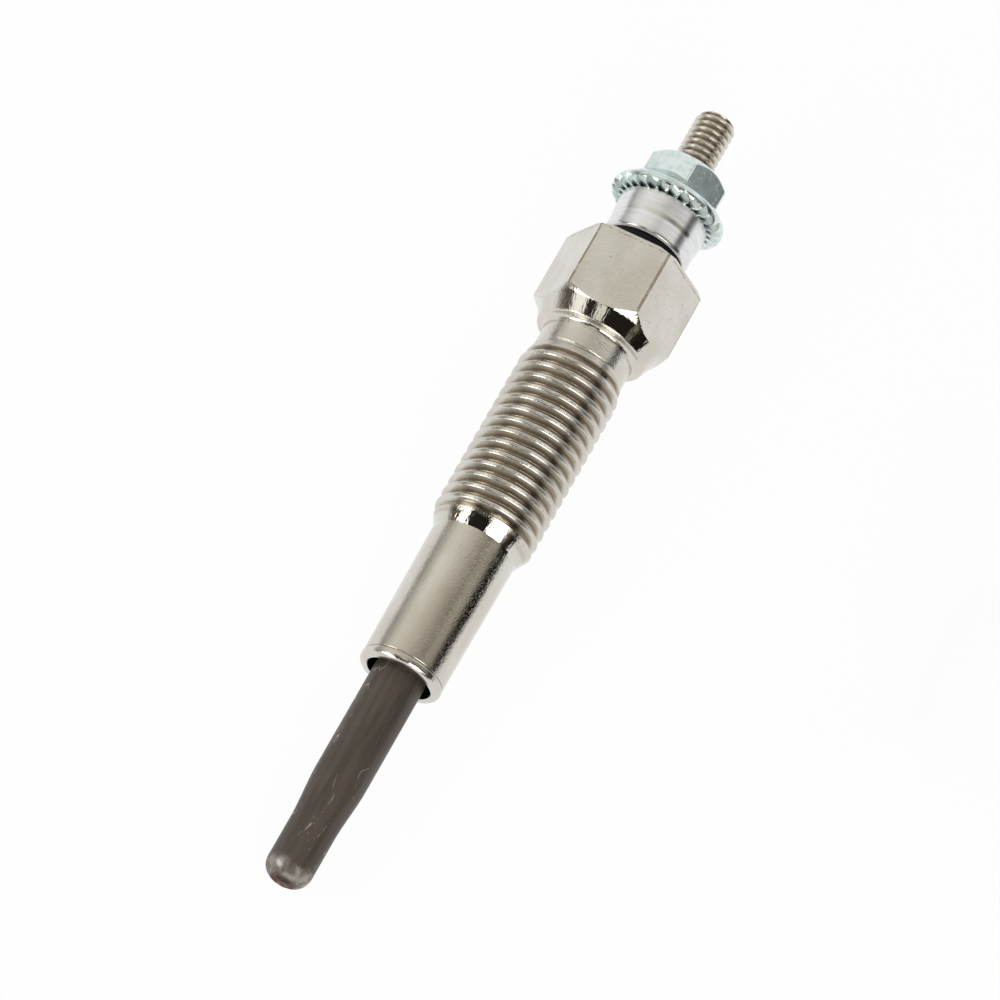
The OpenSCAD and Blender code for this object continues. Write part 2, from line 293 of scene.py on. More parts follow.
    @staticmethod
    def smooth(piece: Piece, angle: float = 35.0, flat_area: float = math.inf) -> None:
        """Shades a piece smooth up to an angle, with its flats kept flat.

        Args:
            piece: The piece to shade.
            angle: Edges that turn further than this, in degrees, stay sharp.
            flat_area: Faces larger than this, in square millimetres, are flats.
        """
        Bench.activate(piece)
        bpy.ops.object.shade_smooth_by_angle(angle=math.radians(angle))
        for face in piece.data.polygons:
            if face.area > flat_area:
                face.use_smooth = False
        step = piece.modifiers.new("flats", "WEIGHTED_NORMAL")
        step.keep_sharp = True
        step.weight = FLAT_WEIGHT
        bpy.ops.object.modifier_apply(modifier=step.name)

    @staticmethod
    def lay_down(piece: Piece, rest: Rest) -> None:
        """Puts an upright piece at rest, with its place in its mesh.

        Args:
            piece: The finished piece.
            rest: Where and how the plug lies.
        """
        piece.matrix_world = rest.matrix
        Bench.activate(piece)
        bpy.ops.object.transform_apply(location=True, rotation=True, scale=True)


@dataclass
class Thread:
    """Rolled screw thread as a solid of its own."""

    pitch: float
    crest_r: float
    root_r: float
    low_z: float
    high_z: float
    round_steps: int
    flank: Outline = field(default_factory=lambda: [
        (0, 0.04), (0.03, 0.012), (0.055, 0), (0.08, 0.006), (0.11, 0.03), (0.145, 0.065),
        (0.175, 0.115), (0.25, 0.415), (0.36, 0.83), (0.39, 0.91), (0.425, 0.965), (0.46, 0.99),
        (0.5, 1)])
    run_in: float = 1.5
    merge_gap: float = 1e-3
    trim_gap: float = 1e-5

    def profile(self) -> Outline:
        """One pitch from crest to crest: flat seamed crests, straight flanks and round roots.

        Returns:
            The points as radius and height.
        """
        shares = self.flank + [(1 - along, deep) for along, deep in reversed(self.flank[:-1])]
        depth = self.crest_r - self.root_r
        return [(self.crest_r - depth * deep, self.pitch * along) for along, deep in shares]

    def build(self, name: str, limits: Limits) -> Piece:
        """Winds one pitch of the profile up the axis and trims it to its length.

        Args:
            name: Name of the new object.
            limits: Least and greatest radius at a height, which give lead-in and run-out.

        Returns:
            The closed thread.
        """
        turns = math.ceil((self.high_z - self.low_z) / self.pitch) + 2
        ridge = Bench.draw(name, self.profile(), self.low_z - self.run_in * self.pitch)
        bpy.ops.object.mode_set(mode="OBJECT")
        winding = ridge.modifiers.new("winding", "SCREW")
        winding.axis = "Z"
        winding.angle = 2 * math.pi
        winding.screw_offset = self.pitch
        winding.iterations = turns
        winding.steps = winding.render_steps = self.round_steps
        winding.use_normal_calculate = True
        bpy.ops.object.modifier_apply(modifier=winding.name)
        bpy.ops.object.mode_set(mode="EDIT")
        bpy.ops.mesh.select_all(action="SELECT")
        bpy.ops.mesh.remove_doubles(threshold=self.merge_gap)
        for height, keeps_above in ((self.low_z, True), (self.high_z, False)):
            bpy.ops.mesh.select_all(action="SELECT")
            bpy.ops.mesh.bisect(
                plane_co=(0, 0, height), plane_no=(0, 0, 1), use_fill=True,
                clear_inner=keeps_above, clear_outer=not keeps_above, threshold=self.trim_gap)
        bpy.ops.object.mode_set(mode="OBJECT")
        for point in ridge.data.vertices:
            radius = math.hypot(point.co.x, point.co.y)
            low, high = limits(point.co.z)
            share = min(max(radius, low), high) / radius
            point.co.x *= share
            point.co.y *= share
        bpy.ops.object.mode_set(mode="EDIT")
        Bench.close()
        return ridge


Number = Union["Value", float]


class Value:
    """A node's output that takes part in Python expressions."""

    def __init__(self, graph: "Graph", socket: bpy.types.NodeSocket) -> None:
        """Wraps one output socket of a graph."""
        self.graph = graph
        self.socket = socket

    def maths(self, operation: str, *terms: Number) -> "Value":
        """Adds one Math node.

        Args:
            operation: Name of the Math node's operation.
            terms: Its values or links in order.

        Returns:
            The node's result.
        """
        settings = {"operation": operation}
        return self.graph.add("ShaderNodeMath", settings, dict(enumerate(terms)))

    def __add__(self, other: Number) -> "Value":
        """Sum."""
        return self.maths("ADD", self, other)

    __radd__ = __add__

    def __sub__(self, other: Number) -> "Value":
        """Difference."""
        return self.maths("SUBTRACT", self, other)

    def __rsub__(self, other: Number) -> "Value":
        """Difference from a number."""
        return self.maths("SUBTRACT", other, self)

    def __mul__(self, other: Number) -> "Value":
        """Product."""
        return self.maths("MULTIPLY", self, other)

    __rmul__ = __mul__

    def __truediv__(self, other: Number) -> "Value":
        """Quotient."""
        return self.maths("DIVIDE", self, other)

    def __rtruediv__(self, other: Number) -> "Value":
        """Quotient of a number."""
        return self.maths("DIVIDE", other, self)

    def __pow__(self, other: Number) -> "Value":
        """Power."""
        return self.maths("POWER", self, other)

    def __rpow__(self, other: Number) -> "Value":
        """Power of a number."""
        return self.maths("POWER", other, self)

    def __abs__(self) -> "Value":
        """Size without sign."""
        return self.maths("ABSOLUTE", self)

    def least(self, other: Number) -> "Value":
        """The smaller of two."""
        return self.maths("MINIMUM", self, other)

    def rise(self, low: float, high: float) -> "Value":
        """Smooth step from 0 at low to 1 at high; low may be the greater.

        Args:
            low: Value at which the step starts.
            high: Value at which it ends.

        Returns:
            The step.
        """
        if low > high:
            return 1 - self.rise(high, low)
        settings = {"interpolation_type": "SMOOTHSTEP"}
        return self.graph.add("ShaderNodeMapRange", settings, {"Value": self, 1: low, 2: high})


class Graph:
    """Node tree of one material, in the plug's own upright millimetres."""

    def __init__(self, name: str, rest: Rest) -> None:
        """Starts a material and its coordinates.

        Args:
            name: Name of the material.
            rest: Lie of the plug, which the coordinates undo.
        """
        self.material = bpy.data.materials.new(name)
        self.material.use_nodes = True
        self.tree = self.material.node_tree
        self.tree.nodes.clear()
        place = self.add("ShaderNodeTexCoord", {}, {}, "Object")
        self.point = self.add("ShaderNodeMapping", {"vector_type": "TEXTURE"}, {
            "Vector": place, "Location": rest.shoulder,
            "Rotation": (0, rest.tilt, 0), "Scale": (MM,) * 3})
        self.x, self.y, self.z = (
            self.add("ShaderNodeSeparateXYZ", {}, {"Vector": self.point}, axis) for axis in "XYZ")

    def add(self, kind: str, settings: dict, sockets: dict, out: Union[str, int] = 0) -> Value:
        """Adds any node.

        Args:
            kind: Type name of the node.
            settings: Properties that are set first; stops are a colour ramp's places and colours.
            sockets: Values or links by the input's name or number.
            out: Name or number of the output that is given back.

        Returns:
            The chosen output.
        """
        node = self.tree.nodes.new(kind)
        for key, value in settings.items():
            if key == "stops":
                self.set_stops(node.color_ramp, value)
            else:
                setattr(node, key, value)
        for key, value in sockets.items():
            if isinstance(value, Value):
                self.tree.links.new(value.socket, node.inputs[key])
            else:
                node.inputs[key].default_value = value
        return Value(self, node.outputs[out])

    @staticmethod
    def set_stops(colour_ramp: bpy.types.ColorRamp, stops: list[tuple[float, Colour]]) -> None:
        """Gives a colour ramp its stops.

        Args:
            colour_ramp: The ramp.
            stops: Places between 0 and 1 and their colours.
        """
        while len(colour_ramp.elements) < len(stops):
            colour_ramp.elements.new(1.0)
        for element, (place, colour) in zip(colour_ramp.elements, stops):
            element.position = place
            element.color = (*colour, 1.0)

    def stretched(self, scale: Colour, offset: Colour = (0, 0, 0)) -> Value:
        """The upright point, scaled by axis and shifted."""
        return self.add(
            "ShaderNodeVectorMath", {"operation": "MULTIPLY_ADD"}, {0: self.point, 1: scale, 2: offset})

    def noise(self, scale: Colour, detail: float = 2.0, rough: float = 0.5,
              offset: Colour = (0, 0, 0)) -> Value:
        """Cloudy noise between 0 and 1.

        Args:
            scale: Cells per millimetre along each axis.
            detail: Octaves.
            rough: Strength of the finer octaves.
            offset: Shift that makes it differ from others.

        Returns:
            The noise.
        """
        place = self.stretched(scale, offset)
        return self.add(
            "ShaderNodeTexNoise", {},
            {"Vector": place, "Scale": 1.0, "Detail": detail, "Roughness": rough})

    def cells(self, scale: Colour, offset: Colour = (0, 0, 0)) -> Value:
        """Distance to the nearest of many scattered points."""
        place = self.stretched(scale, offset)
        return self.add("ShaderNodeTexVoronoi", {}, {"Vector": place, "Scale": 1.0}, "Distance")

    def tint(self, share: Number, first: Union[Value, Colour], second: Union[Value, Colour]) -> Value:
        """Colour between two others.

        Args:
            share: 0 gives the first, 1 the second.
            first: First colour.
            second: Second colour.

        Returns:
            The mixed colour.
        """
        inks = [c if isinstance(c, Value) else (*c, 1.0) for c in (first, second)]
        return self.add("ShaderNodeMix", {"data_type": "RGBA"}, {0: share, 6: inks[0], 7: inks[1]}, 2)

    def radius(self) -> Value:
        """Distance from the plug's axis."""
        return (self.x * self.x + self.y * self.y) ** 0.5

    def band(self, low: Span, high: Span) -> Value:
        """1 between two heights and 0 beyond them.

        Args:
            low: Heights at which the lower step starts and ends.
            high: Heights at which the upper step ends and starts.

        Returns:
            The band.
        """
        return self.z.rise(*low) * self.z.rise(*high)

    def bump(self, height: Value, depth: float) -> Value:
        """Normal of a relief.

        Args:
            height: Relief between about 0 and 1.
            depth: Depth of the relief in millimetres.

        Returns:
            The bent normal.
        """
        sockets = {"Strength": 1.0, "Distance": depth * MM, "Height": height}
        return self.add("ShaderNodeBump", {}, sockets)

    def surface(self, sockets: dict) -> bpy.types.Material:
        """Ends the graph with one Principled shader.

        Args:
            sockets: Values or links by the shader's input names.

        Returns:
            The finished material.
        """
        shader = self.add("ShaderNodeBsdfPrincipled", {}, sockets)
        self.add_output(shader)
        return self.material

    def add_output(self, shader: Value) -> None:
        """Links a shader to the material's output."""
        output = self.tree.nodes.new("ShaderNodeOutputMaterial")
        self.tree.links.new(shader.socket, output.inputs["Surface"])


class Finish(Protocol):
    """Anything that builds a material in the plug's own coordinates."""

    def material(self, rest: Rest) -> bpy.types.Material:
        """Builds the node material for the plug's lie."""


@dataclass(frozen=True)
class NickelFinish:
    """Warm nickel plating: orange peel, fine pitting and turning lines, with painted shade that darkens
    the bores and the thread roots.
    """

    name: str
    warm: Colour = (0.6, 0.57, 0.51)
    pale: Colour = (0.66, 0.64, 0.59)
    # Brown of the painted shade in the thread roots, also used for real wear on the hexagon, dents and
    # pits.
    grime_and_shade: Colour = (0.26, 0.19, 0.125)
    # Near black painted into the mouth of the nose as shade.
    bore: Colour = (0.012, 0.01, 0.009)
    bore_r: float = 3.2
    bore_z: float = -33.0
    root_r: float = 4.3
    crest_r: float = 4.8
    thread_low: float = -22.0
    thread_high: float = -3.0
    turned_low: float = -2.6
    turned_high: float = 2.4
    pitting: float = 0.12
    edge_r: float = 6.83
    edge_low: float = 2.0
    edge_high: float = 8.85
    rim_from: Span = (5.2, 5.4)

    def material(self, rest: Rest) -> bpy.types.Material:
        """Builds the node material.

        Args:
            rest: Lie of the plug.

        Returns:
            The material.
        """
        g = Graph(self.name, rest)
        peel = g.noise((2.6, 2.6, 2.2), 1.0)
        speckle = g.noise((6.5, 6.5, 5.5), 2.0, 0.6, (3, 8, 1))
        sparse = g.noise((0.7, 0.7, 0.5), 1.0, 0.5, (7, 3, 1)).rise(0.46, 0.6)
        low, high = self.turned_low, self.turned_high
        lines = g.noise((0.4, 0.4, 9.0), 2.0) * g.band((low - 0.5, low), (high, low))
        flare = g.band((0.1, 0.3), (high + 0.2, high - 0.3))
        start, end = self.thread_low, self.thread_high
        lead = g.band((start - 1.4, start - 1.0), (start + 0.3, start))
        polished = flare + lead
        dents = g.cells((1.9, 1.9, 1.5)).rise(0.17, 0.08) * sparse * (1.0 - polished)
        chatter = g.noise((4.0, 4.0, 0.25), 2.0, 0.5, (4, 4, 4)) * polished
        pits = g.noise((9.0, 9.0, 8.0), 2.0, 0.6, (1, 7, 4)).rise(0.56, 0.7)
        patches = g.noise((0.3, 0.3, 0.2), 2.0, 0.5, (2, 5, 9))
        wound = g.band((start - 0.4, start), (end + 0.4, end))
        # Painted shade: the thread is darkened and browned towards its roots, unevenly along it.
        root_shade = wound * g.radius().rise(self.crest_r, self.root_r) * (0.5 + 0.5 * patches)
        # Painted shade: inside the bore radius and below the bore height, the mouth of the nose is
        # painted near black.
        inside = g.radius().rise(self.bore_r, self.bore_r - 0.03)
        inside = inside * g.z.rise(self.bore_z, self.bore_z - 0.5)
        base = g.tint(patches.rise(0.35, 0.65), self.warm, self.pale)
        corners = g.radius().rise(self.edge_r, self.edge_r + 0.04)
        corners = corners * g.z.rise(self.edge_low, self.edge_low + 0.6)
        rim = self.edge_high
        top = g.band((rim - 0.04, rim), (rim + 0.1, rim + 0.06)) * g.radius().rise(*self.rim_from)
        top = top * g.noise((1.2, 1.2, 1.2), 4.0, 0.7, (6, 6, 2)).rise(0.42, 0.56)
        worn = corners * g.noise((0.9, 0.9, 0.9), 3.0, 0.6, (9, 2, 2)).rise(0.34, 0.5) + top
        base = g.tint(root_shade * 0.92, base, self.grime_and_shade)
        base = g.tint(worn * 0.7, base, self.grime_and_shade)
        base = g.tint(dents * 0.35 + pits * self.pitting, base, self.grime_and_shade)
        base = g.tint(inside, base, self.bore)
        grain = (peel * 0.3 + speckle * 0.5 - pits * self.pitting) * (1.0 - 0.88 * polished)
        relief = grain + lines * 0.3 + chatter * 0.6 - dents * 0.35
        return g.surface({
            "Base Color": base,
            "Metallic": 1.0,
            "Roughness": 0.065 + 0.07 * speckle - 0.04 * polished + 0.06 * root_shade + 0.4 * inside,
            "Normal": g.bump(relief, 0.035),
        })


@dataclass(frozen=True)
class OxideFinish:
    """Dark oxidised sheath: soft streaks, thin pale scratches, a worn tip and painted shade in the
    recess at its tip.
    """

    name: str
    dark: Colour = (0.056, 0.044, 0.035)
    brown: Colour = (0.096, 0.076, 0.061)
    scratch: Colour = (0.5, 0.47, 0.43)
    worn: Colour = (0.5, 0.46, 0.42)
    scorch: Colour = (0.11, 0.045, 0.032)
    # Near black painted into the tip's recess as shade.
    recess_shade: Colour = (0.012, 0.008, 0.007)
    tip_z: float = -59.15
    dimple_r: float = 1.1

    def material(self, rest: Rest) -> bpy.types.Material:
        """Builds the node material.

        Args:
            rest: Lie of the plug.

        Returns:
            The material.
        """
        g = Graph(self.name, rest)
        streaks = g.noise((1.6, 1.6, 0.09), 3.0, 0.55)
        cloud = g.noise((0.35, 0.35, 0.14), 3.0, 0.55, (4, 1, 8))
        grain = g.noise((13.0, 13.0, 7.0), 2.0)
        wander = g.noise((0.55, 0.55, 0.2), 2.0, 0.5, (3, 9, 2)) - 0.5
        dashes = abs(wander).rise(0.012, 0.004)
        dashes = dashes * g.noise((2.6, 2.6, 1.1), 2.0, 0.6, (1, 4, 6)).rise(0.45, 0.58)
        dashes = dashes * g.noise((0.3, 0.3, 0.16), 1.0, 0.5, (6, 4, 1)).rise(0.53, 0.6)
        specks = g.cells((2.6, 2.6, 2.0), (5, 2, 0)).rise(0.12, 0.05)
        specks = specks * g.noise((0.8, 0.8, 0.4), 1.0, 0.5, (8, 1, 3)).rise(0.5, 0.58)
        marks = (dashes + specks).least(1.0)
        end = g.z.rise(self.tip_z + 1.5, self.tip_z + 0.5)
        rubbed = end * g.noise((0.9, 0.9, 0.9), 3.0, 0.5, (2, 2, 2)).rise(0.34, 0.68)
        tip = g.z.rise(self.tip_z + 0.8, self.tip_z + 0.6)
        burnt = g.radius().rise(self.dimple_r + 0.45, self.dimple_r) * tip
        burnt = burnt * (0.55 + 0.6 * g.noise((2.4, 2.4, 2.4), 3.0, 0.6, (7, 7, 7)))
        # Painted shade: the floor of the tip's recess is painted near black.
        recess_shade_mask = g.radius().rise(self.dimple_r - 0.15, self.dimple_r - 0.5) * tip
        base = g.tint((streaks * 0.6 + cloud * 0.4).rise(0.36, 0.64), self.dark, self.brown)
        base = g.tint(rubbed * 0.62, base, self.worn)
        base = g.tint(burnt, base, self.scorch)
        base = g.tint(recess_shade_mask, base, self.recess_shade)
        base = g.tint(marks * 0.75, base, self.scratch)
        return g.surface({
            "Base Color": base,
            "Metallic": 0.2 + 0.7 * rubbed,
            "Roughness": 0.5 - 0.12 * streaks - 0.16 * rubbed + 0.1 * grain,
            "Specular IOR Level": 0.5,
            "Normal": g.bump(grain * 0.4 + streaks * 0.4 + marks * 0.3, 0.02),
        })


@dataclass(frozen=True)
class AluminiumFinish:
    """Bare turned aluminium with lathe lines and faint scuffs."""

    name: str
    pale: Colour = (0.81, 0.815, 0.815)
    grey: Colour = (0.71, 0.715, 0.73)

    def material(self, rest: Rest) -> bpy.types.Material:
        """Builds the node material.

        Args:
            rest: Lie of the plug.

        Returns:
            The material.
        """
        g = Graph(self.name, rest)
        lines = g.noise((0.06, 0.06, 16.0), 3.0, 0.6)
        broad = g.noise((0.5, 0.5, 2.2), 2.0, 0.5, (6, 0, 2))
        grain = g.noise((9.0, 9.0, 14.0), 2.0)
        base = g.tint((lines * 0.5 + broad * 0.5).rise(0.36, 0.66), self.grey, self.pale)
        return g.surface({
            "Base Color": base,
            "Metallic": 1.0,
            "Roughness": 0.13 + 0.1 * lines + 0.05 * grain,
            "Normal": g.bump(lines * 0.6 + grain * 0.2 + broad * 0.3, 0.016),
        })


@dataclass(frozen=True)
class ZincFinish:
    """Blue passivated zinc plating, mottled pale green and slate, with painted shade in the notches next
    to the collar.
    """

    name: str
    pale: Colour = (0.74, 0.82, 0.815)
    green: Colour = (0.6, 0.71, 0.69)
    slate: Colour = (0.33, 0.41, 0.42)
    bloom: Colour = (0.8, 0.84, 0.83)
    # Dark teal painted into the notches next to the collar as shade.
    notch: Colour = (0.02, 0.055, 0.055)
    seat_z: float = 15.3
    rim_r: float = 5.125
    rim_slope: float = 0.63

    def material(self, rest: Rest) -> bpy.types.Material:
        """Builds the node material.

        Args:
            rest: Lie of the plug.

        Returns:
            The material.
        """
        g = Graph(self.name, rest)
        mottle = g.noise((1.5, 1.5, 1.5), 4.0, 0.6)
        film = g.noise((0.4, 0.4, 0.4), 2.0, 0.5, (3, 3, 7))
        grain = g.noise((12.0, 12.0, 12.0), 3.0, 0.6)
        specks = g.cells((3.4, 3.4, 3.4), (1, 6, 3)).rise(0.2, 0.06)
        specks = specks * g.noise((0.9, 0.9, 0.9), 1.0, 0.5, (5, 2, 9)).rise(0.46, 0.56)
        out = g.radius() - self.rim_r
        above = g.z - self.seat_z - out.maths("MAXIMUM", out, 0.0) * self.rim_slope
        notch_zone_and_shade = above.rise(0.01, 0.1) * g.z.rise(self.seat_z + 0.6, self.seat_z + 0.45)
        teeth = notch_zone_and_shade * g.radius().rise(5.5, 5.2)
        # Painted shade: the inner part of the notches, next to the collar, is painted dark.
        notch_zone_and_shade = notch_zone_and_shade * g.radius().rise(4.95, 4.45)
        base = g.tint(mottle.rise(0.42, 0.72), self.pale, self.green)
        base = g.tint(film.rise(0.55, 0.75) * 0.3, base, self.slate)
        base = g.tint(specks * 0.6, base, self.bloom)
        base = g.tint(notch_zone_and_shade * 0.9, base, self.notch)
        return g.surface({
            "Base Color": base,
            "Metallic": 1.0 - 0.5 * specks,
            "Roughness": 0.1 + 0.1 * mottle + 0.05 * grain + 0.3 * specks + 0.35 * teeth,
            "Normal": g.bump(mottle * 0.4 + grain * 0.2 + specks * 0.3, 0.022),
        })


@dataclass(frozen=True)
class MouldedFinish:
    """Moulded plastic, rubber, wire enamel or packed powder: one tone with a fine grain."""

    name: str
    tone: Colour
    shade: Colour
    grain_scale: float
    rough: float
    depth: float
    metallic: float = 0.0
    shine: float = 0.5

    def material(self, rest: Rest) -> bpy.types.Material:
        """Builds the node material.

        Args:
            rest: Lie of the plug.

        Returns:
            The material.
        """
        g = Graph(self.name, rest)
        grain = g.noise((self.grain_scale,) * 3, 3.0, 0.55)
        cloud = g.noise((0.6, 0.6, 0.6), 2.0, 0.5, (4, 4, 1))
        return g.surface({
            "Base Color": g.tint((grain * 0.5 + cloud * 0.5).rise(0.35, 0.65), self.tone, self.shade),
            "Metallic": self.metallic,
            "Roughness": self.rough + 0.12 * grain,
            "Specular IOR Level": self.shine,
            "Normal": g.bump(grain, self.depth),
        })


@dataclass(frozen=True)
class Dressed:
    """What a finished piece stands for and how it is finished."""

    piece_name: str
    node: str
    slot: str
    finish: Finish

    def hand_over(self, piece: Piece, rest: Rest) -> None:
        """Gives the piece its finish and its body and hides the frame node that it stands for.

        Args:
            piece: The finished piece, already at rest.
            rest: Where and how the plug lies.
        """
        piece.name = self.piece_name
        piece.data.name = self.piece_name
        piece.data.materials.clear()
        piece.data.materials.append(self.finish.material(rest))
        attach(piece, "root")
        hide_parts(self.node)
        LOG.info("%s: %d faces, stands for %s", piece.name, len(piece.data.polygons), self.node)


class Assembly(ABC):
    """A piece of the plug that is modelled upright, laid down and dressed."""

    dressed: Dressed

    @abstractmethod
    def model(self) -> Piece:
        """Models the piece upright in millimetres."""

    def build(self, rest: Rest) -> None:
        """Models, lays down and dresses the piece.

        Args:
            rest: Where and how the plug lies.
        """
        piece = self.model()
        Bench.lay_down(piece, rest)
        self.dressed.hand_over(piece, rest)


@dataclass
class Shell(Assembly):
    """Nickel plated body: hexagon, neck, thread and nose, drilled from both ends."""

    hex_af: float = 12.0
    hex_edge: float = 0.25
    head_h: float = 9.25
    shoulder_r: float = 5.45
    shoulder_round: float = 0.22
    flare_h: float = 1.5
    under_slope: float = 47.0
    crown_r: float = 6.4
    crown_slope: float = 30.0
    neck_r: float = 4.48
    neck_z: float = -2.4
    neck_fillet: float = 0.5
    thread_top_z: float = -4.4
    thread_low_z: float = -21.3
    crest_r: float = 4.975
    root_r: float = 4.275
    pitch: float = 1.25
    nose_top_z: float = -23.05
    nose_root_r: float = 4.125
    nose_end_r: float = 3.975
    nose_z: float = -37.65
    lip_l: float = 0.9
    lip_r: float = 4.025
    lip_round: float = 0.5
    mouth_r: float = 3.15
    mouth_depth: float = 2.5
    press_r: float = 2.53
    press_top_z: float = -19.65
    passage_r: float = 2.175
    seat_r: float = 3.18
    seat_z: float = 5.815
    overlap: float = 0.6
    top_round: float = 0.2
    core_depth: float = 0.25
    bead: float = 0.14
    groove: float = 0.12
    bevel: float = 0.08
    mouth_break: float = 0.12
    sunk: float = 0.03
    fade_past: float = 0.7
    fade_l: float = 1.2
    thread_steps: int = 112
    smooth_angle: float = 28.0
    flat_area: float = 8.0
    dressed: Dressed = Dressed("shell_body", "shell", "shell_nickel", NickelFinish("nickel_plating"))

    @property
    def thread_middle(self) -> float:
        """Height of the middle of the full thread."""
        return (self.thread_top_z + self.thread_low_z) / 2

    def head(self) -> Piece:
        """Hexagon trimmed by a turned flare below and a crown above.

        Returns:
            The head.
        """
        half = self.hex_af / 2
        out = half / math.cos(HEX_HALF_ANGLE) + CLEAR
        under = self.flare_h + (out - half) / math.tan(math.radians(self.under_slope))
        crown = self.head_h - (out - self.crown_r) * math.tan(math.radians(self.crown_slope))
        ring = self.shoulder_round
        outline = [
            (0, 0),
            *arc((self.shoulder_r - ring, ring), ring, -90, -20, 5),
            (half, self.flare_h),
            (out, under),
            (out, crown),
            (self.crown_r, self.head_h),
            (0, self.head_h),
        ]
        head = Bench.hex_bar("head", self.hex_af, -CLEAR, self.head_h + CLEAR, self.hex_edge)
        Bench.combine(head, Bench.lathe("head_trim", outline), Cut.KEEP)
        Bench.break_edges(head, self.head_h, half * RIM_SHARE, self.top_round)
        return head

    def barrel(self) -> Piece:
        """Turned neck, thread core and nose with its lip.

        Returns:
            The barrel.
        """
        core = self.root_r - self.core_depth
        lip_z = self.nose_z + self.lip_l
        lip, fillet = self.lip_round, self.neck_fillet
        groove_r = self.nose_end_r - self.groove
        outline = [
            (0, self.nose_z),
            *arc((self.lip_r - lip, self.nose_z + lip), lip, -90, 0, 8),
            (self.lip_r, lip_z - 0.3),
            *arc((self.lip_r - self.bead, lip_z - 0.2), self.bead, 0, 80, 5),
            (groove_r, lip_z - 0.02),
            (groove_r, lip_z + 0.06),
            *arc((self.nose_end_r - self.bevel, lip_z + 2 * self.bevel), self.bevel, -80, 0, 4),
            (self.nose_root_r, self.nose_top_z + 0.1),
            (core, self.nose_top_z + 0.5),
            (core, self.neck_z - 0.5),
            (self.neck_r - 0.1, self.neck_z - 0.12),
            (self.neck_r, self.neck_z),
            *arc((self.neck_r + fillet, -fillet), fillet, 180, 90, 8),
            (self.neck_r + fillet, self.overlap),
            (0, self.overlap),
        ]
        return Bench.lathe("barrel", outline)

    def thread_limits(self, height: float) -> Span:
        """Least and greatest radius of the thread at a height.

        Args:
            height: Height along the axis.

        Returns:
            Both radii: the run-out meets the neck and the lead-in cone meets the nose.
        """
        high, low = self.crest_r, self.root_r
        neck, nose = self.neck_r - self.sunk, self.nose_root_r - self.sunk
        high += (neck - high) * ramp(height, self.thread_top_z, self.neck_z)
        low += (neck - low) * ramp(height, self.thread_top_z + 0.5, self.neck_z)
        high += (nose - high) * ramp(-height, -self.thread_low_z, -self.nose_top_z)
        fade_end = self.fade_past - self.thread_low_z
        low += (high - low) * ramp(-height, fade_end - self.fade_l, fade_end)
        return min(low, high), high

    def thread(self) -> Piece:
        """Rolled thread between neck and nose."""
        solid = Thread(
            self.pitch, self.crest_r, self.root_r, self.nose_top_z, self.neck_z, self.thread_steps)
        return solid.build("shell_thread", self.thread_limits)

    def bores(self) -> Piece:
        """All bores as one turned cutter.

        Returns:
            The cutter.
        """
        wide = self.mouth_r + self.mouth_break
        mouth_z = self.nose_z + self.mouth_depth
        outline = [
            (0, self.nose_z - CLEAR),
            (wide + CLEAR, self.nose_z - CLEAR),
            (wide, self.nose_z),
            (self.mouth_r, self.nose_z + self.mouth_break),
            (self.mouth_r, mouth_z),
            (self.press_r, mouth_z),
            (self.press_r, self.press_top_z),
            (self.passage_r, self.press_top_z),
            (self.passage_r, self.seat_z),
            (self.seat_r, self.seat_z),
            (self.seat_r, self.head_h + CLEAR),
            (0, self.head_h + CLEAR),
        ]
        return Bench.lathe("bores", outline)

    def model(self) -> Piece:
        """Joins barrel, head and thread and drills the bores.

        Returns:
            The shell.
        """
        body = self.barrel()
        Bench.combine(body, self.head(), Cut.ADD)
        Bench.combine(body, self.bores(), Cut.TAKE)
        Bench.combine(body, self.thread(), Cut.ADD)
        Bench.smooth(body, self.smooth_angle, self.flat_area)
        return body


